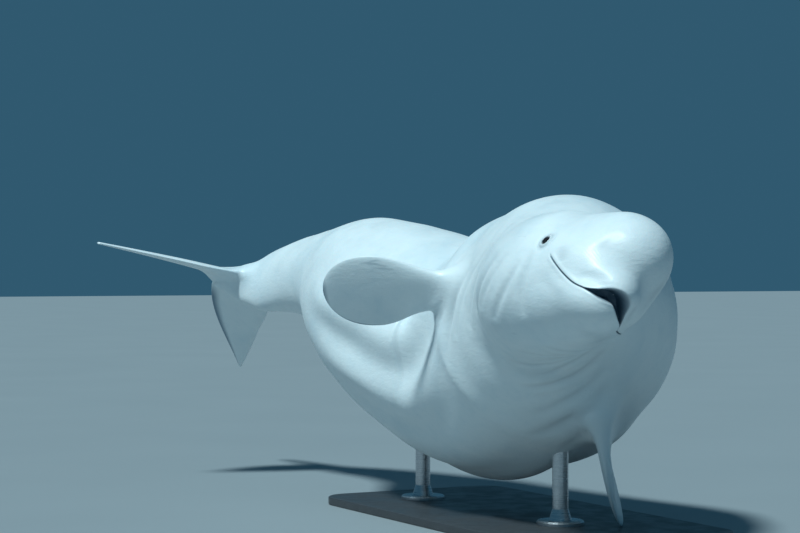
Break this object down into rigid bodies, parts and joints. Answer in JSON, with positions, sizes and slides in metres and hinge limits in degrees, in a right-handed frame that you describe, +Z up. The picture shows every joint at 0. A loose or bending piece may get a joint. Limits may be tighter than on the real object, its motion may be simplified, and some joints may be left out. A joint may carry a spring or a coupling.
{
  "type": "beluga whale model",
  "caption": "Still, life-size beluga whale swimming with a turned neck, banked right side up, held on a flat base by short rods.",
  "frame": {"origin": "middle of the bounding box on the floor, at the level of the stand's underside", "axes": "+Z up; +X along the body from the tail to the head; +Y towards the animal's left"},
  "size_m": [4.3664, 1.5072, 1.3204],
  "materials": {
    "skin": "smooth wet skin, white with a slight cool tint",
    "eye": "wet gloss, near black",
    "stand_base": "satin dark paint",
    "stand_rod": "brushed"
  },
  "bodies": {
    "root": {"head": "skin", "neck": "skin", "chest": "skin", "belly": "skin", "tail_stock": "skin", "flipper_right": "skin", "flipper_left": "skin", "fluke_right": "skin", "fluke_left": "skin", "eye_right": "eye", "eye_left": "eye", "stand_base": "stand_base", "stand_rod_front": "stand_rod", "stand_rod_rear": "stand_rod"}
  },
  "joints": []
}
